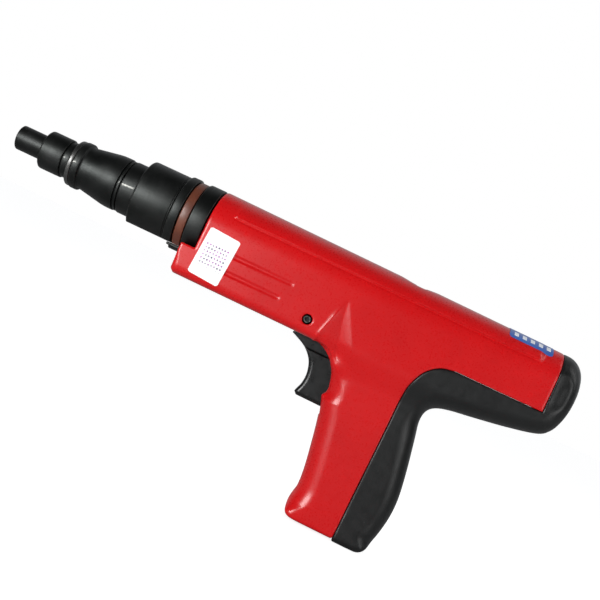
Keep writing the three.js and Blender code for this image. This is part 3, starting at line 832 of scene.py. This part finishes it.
def housing_hollows(shape, f):
    """Takes out the barrel's bore and seat, the dip on top and the room for everything in the grip."""
    saddle = round_bore(f, 90, HOUSING_FRONT, 21.55)
    shape = without(shape, saddle, 0.4)
    dip = np.hypot(f.x - 245, f.z - 48.9) - 30
    shape = carved(shape, dip, 1.6)
    shape = without(shape, round_bore(f, 90, 236, 17.3), 0.5)
    shape = without(shape, round_bore(f, 230, 340, 15.3), 0.3)
    shape = without(shape, block(f, (90, -5.4, -27.4), (190, 5.4, -8)), 0.4)
    trigger_slot = block(f, (190.4, -6.4, -68), (238, 6.4, -18.2))
    grip_hollow = np.maximum(f.side([
        (228.5, -64), (232, -80), (234.4, -97), (235, -120.9), (275, -120.9), (275, -36), (228.5, -36),
    ]), np.abs(f.y) - HOLLOW_HALF)
    neck = f.side([(203, -30), (275, -30), (275, -60), (229, -60), (229, -30)])
    neck = np.maximum(neck, np.abs(f.y) - HOLLOW_HALF)
    shape = without(shape, trigger_slot, 0.5)
    shape = without(shape, np.minimum(grip_hollow, neck), 0.3)
    strip = block(f, (STRIP_FRONT, -STRIP_HALF, -140), (STRIP_REAR, STRIP_HALF, 30), 0.3)
    shape = without(shape, strip, 0.4)
    over_spring = block(f, (255.5, -SEAR_ROOM_HALF, -24.4), (278, SEAR_ROOM_HALF, -8), 0.3)
    sear_tail = block(f, (262.8, -SEAR_ROOM_HALF, -44), (278, SEAR_ROOM_HALF, -23), 0.3)
    rail_plate = block(f, (90, -8.6, -23), (126.2, 8.6, -8), 0.3)
    for room in (over_spring, sear_tail, rail_plate):
        shape = without(shape, room, 0.3)
    x, z = TRIGGER_PIVOT
    hole = np.maximum(np.hypot(f.x - x, f.z - z) - 2.8, f.y - 17)
    across = np.hypot(f.x - x, f.z - z)
    recess = np.maximum(across - 2.1, f.y + 19.0)
    recess = np.minimum(recess, np.maximum(across - 2.8 + 0.6 * (f.y + 21.2), f.y + 19.6))
    return without(shape, np.minimum(hole, recess), 0.45)


def make_housing():
    f = Field((114, -23.5, -127.5), (333, 23.5, 24), (0.7, 0.45, 0.42))
    shape = outer_form(f)
    shape = shape + finger_relief(f) * smooth_step(np.abs(f.y), 9, 12)
    shape = housing_details(shape, f)
    shape = both(shape, f.side(red_side()), 0.7)
    shape = both(shape, -(f.z + 124.8), 2.2)
    shape = housing_hollows(shape, f)
    return add_piece("housing", *f.mesh(shape))


def make_rear_cover():
    f = Field((257, -22, -128), (347.5, 22, 22), (0.55, 0.55, 0.55))
    shape = outer_form(f)
    for side in (-1, 1):
        dent = bar(f, (334.5, side * 27.2, 4), (334.5, side * 27.2, -6), 10.2)
        shape = carved(shape, dent, 2.0)
    shape = both(shape, 0.1 - f.side(red_side()), 0.75)
    cap_hollow = np.maximum(np.hypot(f.y, f.z) - 14.8, np.maximum(320 - f.x, f.x - 338))
    band = np.maximum(f.side([
        (272, -33.2), (286, -31.8), (318, -26.8), (334, -23.0), (338, -17), (338, -5), (300, -5), (272, -10),
    ]), np.abs(f.y) - 13.5)
    grip = np.maximum(f.side([
        (250, -36), (250, -121.3), (273.6, -121.3), (277, -110), (278.8, -97), (277.4, -80), (273.6, -60),
        (272.6, -48), (273.2, -41), (276, -35.4), (277, -20), (255, -20),
    ]), np.abs(f.y) - HOLLOW_HALF)
    tail_room = block(f, (266, -4.2, -45), (275.0, 4.2, -37.5), 0.5)
    hollow = np.minimum(np.minimum(cap_hollow, band), np.minimum(grip, tail_room))
    shape = without(shape, hollow, 0.4)
    screw = np.maximum(np.hypot(f.y, f.z) - 2.6, 300 - f.x)
    head = np.maximum(np.hypot(f.y, f.z) - 4.8, CAP_FACE_X - f.x)
    shape = without(shape, np.minimum(screw, head), 0.5)
    from_screw = np.hypot(f.x - BASE_SCREW_X, f.y)
    base_screw = np.maximum(from_screw - 2.1, f.z + 100)
    base_head = np.maximum(from_screw - 3.9, f.z + 123.5)
    shape = without(shape, np.minimum(base_screw, base_head), 0.4)
    return add_piece("rear_cover", *f.mesh(shape))


# ---------------------------------------------------------------- trigger

TRIGGER_HALF = 6.0
SHIELD_Z = -38.2
TRIGGER_FACE = [
    (192.5, -33.6), (196.1, -35.1), (200.5, -37.2), (204.6, -40.5), (207.6, -45), (209.2, -51),
    (208.9, -56.5), (207.6, -60.4), (207.0, -62.2),
]
TRIGGER_REST = [
    (208.6, -63.9), (226.4, -64), (225.8, -50), (227, -46), (229, -41), (227, -36.5), (218, -29),
    (203.6, -22), (201.5, -19.8), (198, -18.7), (194.2, -20), (193, -23.7), (193.2, -32.2),
]


def trigger_form(f):
    side = f.side([*curve(TRIGGER_FACE), *TRIGGER_REST])
    return both(np.abs(f.y) - TRIGGER_HALF, side, 1.0 + 1.6 * smooth_step(-f.z, 38, 44))


def pivot_hole(f):
    return np.hypot(f.x - TRIGGER_PIVOT[0], f.z - TRIGGER_PIVOT[1]) - 2.7


def make_trigger():
    f = Field((190, -7, -66), (231, 7, -17), (0.33,) * 3)
    whole = trigger_form(f)
    below = both(whole, f.z - (SHIELD_Z - 0.18), 0.35)
    core = np.maximum(np.maximum(whole, np.abs(f.y) - 4.2), 196 - f.x)
    shape = without(np.minimum(below, core), pivot_hole(f), 0.3)
    return add_piece("trigger", *f.mesh(shape))


def make_trigger_shield():
    f = Field((190, -7, -40), (231, 7, -17), (0.33,) * 3)
    above = both(trigger_form(f), SHIELD_Z + 0.18 - f.z, 0.35)
    core = block(f, (195.7, -4.5, -60), (240, 4.5, 0))
    shape = without(np.maximum(above, f.x - 222), core, 0.2)
    shape = without(shape, pivot_hole(f), 0.3)
    return add_piece("trigger_shield", *f.mesh(shape))


# ---------------------------------------------------------------- barrel group

SLEEVE_FLAT = -17.8
ROD_OFFSET = 12


def flat_cutter(x0, x1):
    return box_mesh((x0, -30, -40), (x1, 30, SLEEVE_FLAT))


def make_nose():
    turned("muzzle_tube", [(3.5, 4.2, 0.5), (58, 4.2), (58, 7.2), (3.5, 7.2, 0.9)])
    collar = turned("nose_collar", [
        (20.5, 7.5), (38.6, 7.5), (38.6, 10.6, 0.5), (34.8, 10.6, 0.3), (34.8, 10.0, 0.2), (34.2, 10.0, 0.2),
        (34.2, 11.3, 0.6), (20.5, 11.3, 1.3),
    ])
    cut(collar, bar_mesh((32.6, 0, -8.4), (32.6, 0, -20), 1.3, BORE_SIDES))
    snap = turned("nose_snap_ring", [(38.9, 7.5), (41.6, 7.5), (41.6, 13.4, 0.6), (38.9, 13.4, 1.0)])
    cut(snap, box_mesh((38, -1.4, 7), (42.5, 1.4, 16)))
    turned("nose_cone", [
        (41.9, 7.5), (58.4, 7.5), (58.4, 4.4), (112, 4.4), (112, 8.6), (100, 8.6), (100, 12.4), (88, 12.4),
        (88, 15.4, 0.6), (73.0, 15.4, 0.35), (73.0, 14.0, 0.2), (69.9, 14.0, 0.2), (69.9, 15.4, 0.35),
        (64, 15.4, 3.0), (46.4, 12.3, 0.8), (46, 13.8, 0.7), (41.9, 13.8, 0.6),
    ], corner=0.3)
    groove = turned("groove_ring", [(70.8, 14.3), (72.1, 14.3), (72.1, 15.0, 0.4), (70.8, 15.0, 0.4)])
    cut(groove, box_mesh((70, 10, -1.2), (73, 18, 1.2)))
    guide = turned("piston_guide", [
        (100.3, 9), (216, 9), (216, 3.6), (231, 3.6, 0.6), (231, 14.6, 0.7), (223, 14.6, 0.7),
        (223, 12.4, 0.3), (127, 12.4, 0.2), (127, 11.8, 0.1), (124.7, 11.8, 0.1), (124.7, 12.4, 0.2),
        (100.3, 12.4, 0.5),
    ], corner=0.3)
    for side in (-1, 1):
        cut(guide, bar_mesh((224, side * ROD_OFFSET, 0), (232, side * ROD_OFFSET, 0), 1.8, BORE_SIDES))
    ring = turned("retaining_ring", [(124.9, 12.1), (126.8, 12.1), (126.8, 14.8), (124.9, 14.8)])
    cut(ring, box_mesh((124, -2, -16), (128, 2, -11)))
    turned("piston_buffer", [(112.4, 4.6, 0.6), (127, 4.6, 0.6), (127, 8.7, 0.8), (112.4, 8.7, 0.8)])
    turned("buffer_washer", [(127.3, 4.3), (129.3, 4.3), (129.3, 8.7), (127.3, 8.7)])
    rod = softened([(0, 0), (32.3, 0), (32.3, 1.6, 0.4), (0, 1.6, 0.4)], 0.3)
    for name, y in (("left", -ROD_OFFSET), ("right", ROD_OFFSET)):
        add_piece("cocking_rod_" + name, *spun(rod, (224.4, y, 0), (256.7, y, 0)), sharp=SHARP)


def make_piston():
    turned("piston", [
        (78, 0), (215.6, 0), (215.6, 8.6, 0.6), (211.4, 8.6, 0.2), (211.4, 7.4, 0.2), (209.6, 7.4, 0.2),
        (209.6, 8.6, 0.2), (207.4, 8.6, 0.2), (207.4, 7.4, 0.2), (205.6, 7.4, 0.2), (205.6, 8.6, 0.2),
        (203, 8.6, 0.6), (203, 3.8, 1.2), (78, 3.8, 0.8),
    ])
    for name, x in (("front", 205.9), ("rear", 209.9)):
        ring = turned("piston_ring_" + name, ring_outline(x, x + 1.2, 7.7, 8.75), corner=0.2)
        cut(ring, box_mesh((x - 1, -0.5, 5), (x + 3, 0.5, 12)))


def make_carriage():
    sleeve = turned("barrel_sleeve", [
        (82, 15.85, 0.4), (125.3, 15.85, 0.3), (125.3, 17.9, 0.3), (105, 17.9, 0.3), (105, 20, 0.4),
        (104.35, 20, 0.2), (104.1, 19.6, 0.2), (103.85, 20, 0.2), (82, 20, 1.4),
    ])
    rear = turned("sleeve_rear_ring", [(105.2, 18.2), (110.4, 18.2), (110.4, 21.1, 0.5), (105.2, 21.1, 1.0)])
    brown = turned("buffer_ring", [(110.8, 18.2), (116, 18.2), (116, 20.1, 0.8), (110.8, 20.1, 0.8)])
    collar = turned("barrel_collar", [(116.4, 18.2), (125.6, 18.2), (125.6, 21.1, 0.6), (116.4, 21.1, 0.8)])
    for piece in (sleeve, rear, brown, collar):
        cut(piece, flat_cutter(70, 130))
    turned("return_spring_seat", ring_outline(121.5, 124.5, 12.8, 15.55))
    f = Field((105, -9.5, -28), (190, 9.5, -16), (0.4,) * 3)
    plate = block(f, (107.8, -8, -19.5), (125.4, 8, -17.95), 0.4)
    lug = block(f, (109.2, -6.5, -20.9), (124, 6.5, -18.1), 0.8)
    rail = block(f, (119.3, -5, -26), (188, 5, -18.2), 0.8)
    add_piece("guide_rail", *f.mesh(joined(joined(plate, lug, 0.5), rail, 0.6)))


# ---------------------------------------------------------------- breech, striker and small pieces


def hex_mesh(centre, along, radius, depth):
    """The cutter for a hex socket this deep in a screw's head."""
    a = Vector(centre)
    return bar_mesh(a - Vector(along) * depth, a + Vector(along) * 0.5, radius, 6)


def make_striker_group():
    turned("guide_bush", [(141, 12.75, 0.5), (155, 12.75, 0.5), (155, 17.0, 0.5), (141, 17.0, 0.5)])
    breech = turned("breech_block", [
        (249, 2.2, 0.2), (256, 2.2, 0.5), (256, 15.0, 0.5), (249, 15.0, 0.5),
    ])
    for side in (-1, 1):
        low, high = sorted((side * 9.8, side * 20))
        cut(breech, box_mesh((240, low, -2.2), (260, high, 2.2)))
    seat = turned("spring_seat", [(318.5, 0), (323.5, 0), (323.5, 15.0, 0.5), (318.5, 15.0, 0.5)])
    cut(seat, bar_mesh((320.5, 0, 0), (330, 0, 0), 2.6, 40))
    f = Field((248, -15, -10), (308, 15, 10), (0.4,) * 3)
    radial = np.hypot(f.y, f.z)
    pin = both(radial - 1.8, np.maximum(249.4 - f.x, f.x - 262), 0.5)
    body = both(radial - 8.5, np.maximum(257 - f.x, f.x - 285), 0.7)
    tail = both(radial - 3.2, np.maximum(280 - f.x, f.x - 306), 0.7)
    head = block(f, (257, -13.8, -5.5), (261, 13.8, 5.5), 0.6)
    add_piece("striker", *f.mesh(np.minimum(np.minimum(pin, tail), np.minimum(body, head))))


def make_springs():
    helix("return_spring", (88.2, 0, 0), (121.3, 0, 0), 14.15, 0.9, 6, (0, 1, 0))
    helix("striker_spring", (285.3, 0, 0), (318.2, 0, 0), 5.6, 1.0, 8, (0, 1, 0))
    helix("trigger_spring", (231.8, 0, -36), (241.7, 0, -36), 2.1, 0.35, 5, (0, 1, 0))
    helix("sear_spring", (260, 0, -24.3), (260, 0, -17.2), 1.7, 0.35, 4, (1, 0, 0))


def make_trigger_linkage():
    f = Field((228, -11.5, -49), (269.5, 11.5, -32), (0.35,) * 3)
    pad = block(f, (229.5, -4.5, -48), (231.5, 4.5, -33.4), 0.4)
    plate = block(f, (230, -10.2, -42), (268.1, 10.2, -39.4), 0.4)
    window = block(f, (237.4, -8.1, -50), (250.6, 8.1, -30), 0.8)
    shape = without(joined(pad, plate, 1.0), window, 0.3)
    for side in (-1, 1):
        low, high = sorted((side * 3, side * 20))
        shape = without(shape, block(f, (256, low, -50), (280, high, -30), 0.8), 0.3)
    add_piece("trigger_bar", *f.mesh(shape))
    f = Field((257, -4, -44), (275, 4, -8), (0.3,) * 3)
    side = f.side([
        (259.6, -9.4), (263.8, -9.4), (266.9, -16), (268, -22.2), (270, -22.8), (273, -23.8), (273.6, -26),
        (272.2, -29), (270.6, -42.2), (268.5, -42.2), (268.4, -30), (266.6, -27), (264.9, -21),
        (263.6, -16.3), (258.2, -16.2),
    ])
    hole = np.hypot(f.x - SEAR_PIVOT[0], f.z - SEAR_PIVOT[1]) - 2.1
    add_piece("sear", *f.mesh(without(both(np.abs(f.y) - 3, side, 0.4), hole, 0.3)))
    f = Field((240.5, -9, -122), (252, 9, -14), (0.4,) * 3)
    outer = block(f, (242, -7.6, -120.5), (250, 7.6, -15.9), 0.5)
    inner = block(f, (STRIP_FRONT, -STRIP_HALF, -130), (STRIP_REAR, STRIP_HALF, 0), 0.2)
    add_piece("strip_guide", *f.mesh(without(outer, inner, 0.2)))


def make_screws():
    x, z = TRIGGER_PIVOT
    profile = softened([(0, 0), (36.8, 0), (36.8, 2.1, 0.5), (0, 2.1, 0.3)], 0.2)
    screw = add_piece("trigger_pivot_screw", *spun(profile, (x, -20.2, z), (x, 16.6, z)), sharp=SHARP)
    cut(screw, hex_mesh((x, -20.2, z), (0, -1, 0), 1.45, 1.5))
    profile = [(0, 0), (22.7, 0), (22.7, 4.4, 0.6), (20.5, 4.4, 0.3), (20.5, 2.2, 0.2), (0, 2.2, 0.5)]
    profile = softened(profile, 0.2)
    screw = add_piece("cap_screw", *spun(profile, (321, 0, 0), (343.7, 0, 0)), sharp=SHARP)
    cut(screw, hex_mesh((343.7, 0, 0), (1, 0, 0), 2.0, 1.4))
    profile = [(0, 0), (15.9, 0), (15.9, 1.8, 0.4), (1.5, 1.8, 0.2), (1.5, 3.5, 0.3), (0, 3.5, 0.4)]
    profile = softened(profile, 0.2)
    foot = (BASE_SCREW_X, 0, -125.2)
    screw = add_piece("grip_screw", *spun(profile, foot, (BASE_SCREW_X, 0, -109.3)), sharp=SHARP)
    cut(screw, hex_mesh(foot, (0, 0, -1), 1.6, 1.0))
    profile = softened([(0, 0), (16.8, 0), (16.8, 1.8, 0.4), (0, 1.8, 0.4)], 0.2)
    x, z = SEAR_PIVOT
    add_piece("sear_pin", *spun(profile, (x, -8.4, z), (x, 8.4, z)), sharp=SHARP)


# ---------------------------------------------------------------- labels


LABEL_THICKNESS, LABEL_STEP = 0.12, 0.5


def sheet_piece(node, surface, width, height, corner):
    """A thin label with rounded corners; surface(a, b, lift) gives the point at (a, b) on the tool."""
    outline = []
    for cx, cy, start in ((width - corner, height - corner, 0), (corner, height - corner, 90),
                          (corner, corner, 180), (width - corner, corner, 270)):
        for k in range(7):
            angle = math.radians(start + 15 * k)
            outline.append((cx + corner * math.cos(angle), cy + corner * math.sin(angle)))
    rows, columns = int(height / LABEL_STEP), int(width / 2)
    points, faces = [], []
    for lift in (0.0, LABEL_THICKNESS):
        for r in range(rows + 1):
            b = height * r / rows
            left, right = span_at(outline, b)
            for c in range(columns + 1):
                points.append(surface(left + (right - left) * c / columns, b, lift))
    layer = (rows + 1) * (columns + 1)

    def index(level, r, c):
        return level * layer + r * (columns + 1) + c

    for r in range(rows):
        for c in range(columns):
            square = [(r, c), (r, c + 1), (r + 1, c + 1), (r + 1, c)]
            faces.append([index(1, *s) for s in square])
            faces.append([index(0, *s) for s in reversed(square)])
    rim = [(0, c) for c in range(columns)] + [(r, columns) for r in range(rows)]
    rim += [(rows, c) for c in range(columns, 0, -1)] + [(r, 0) for r in range(rows, 0, -1)]
    for a, b in zip(rim, rim[1:] + rim[:1]):
        faces.append([index(0, *a), index(0, *b), index(1, *b), index(1, *a)])
    return add_piece(node, points, faces, sharp=40)


def span_at(outline, b):
    """Left and right edge of a convex outline at height b."""
    hits = []
    for (ax, ay), (bx, by) in zip(outline, outline[1:] + outline[:1]):
        if min(ay, by) - 1e-9 <= b <= max(ay, by) + 1e-9:
            t = 0.5 if abs(by - ay) < 1e-12 else (b - ay) / (by - ay)
            hits += [ax, bx] if abs(by - ay) < 1e-12 else [ax + (bx - ax) * t]
    return min(hits), max(hits)


def make_labels():
    tilt = math.radians(-4)

    def side_point(a, b, lift):
        u, v = a - 9.2, b - 13.5
        x = 138.2 + u * math.cos(tilt) - v * math.sin(tilt)
        z = -14.7 + u * math.sin(tilt) + v * math.cos(tilt)
        return x, -(body_radius(x) + 0.03 + lift), z

    def top_point(a, b, lift):
        x = 298.6 + a
        angle = math.radians(46) + b / body_radius(x)
        radius = body_radius(x) + ledge_lift(x, body_radius(x) * math.sin(angle)) + 0.05 + lift
        return x, -radius * math.cos(angle), radius * math.sin(angle)

    sheet_piece("white_label", side_point, 18.4, 27.0, 1.2)
    sheet_piece("blue_label", top_point, 25.5, 17.0, 2.0)


# ---------------------------------------------------------------- assembly

make_camera()
make_lights()
make_world()
make_floor()
bpy.context.scene.view_settings.view_transform = "Standard"

make_nose()
make_piston()
make_carriage()
make_striker_group()
make_springs()
make_trigger_linkage()
make_screws()
make_labels()
make_trigger()
make_trigger_shield()
make_housing()
make_rear_cover()

# Each spring's visual gets a mesh of its own; the joint, axis, fixed end and kept share of length listed with
# it are not used here.
for spring, joint, axis, fixed, keep in (
    ("return_spring", "nose_press", (1, 0, 0), (121.3, 0, 0), 1 - 12 / 33.1),
    ("striker_spring", "striker_cock", (1, 0, 0), (318.2, 0, 0), 1 - 12 / 32.9),
    ("trigger_spring", "trigger_bar_slide", (1, 0, 0), (241.7, 0, -36), 1 - 2.6 / 9.9),
    ("sear_spring", "sear_release", (0, 0, 1), (260, 0, -24.3), 1 - 1.8 / 7.1),
):
    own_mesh(bpy.data.objects[spring + "_visual"])
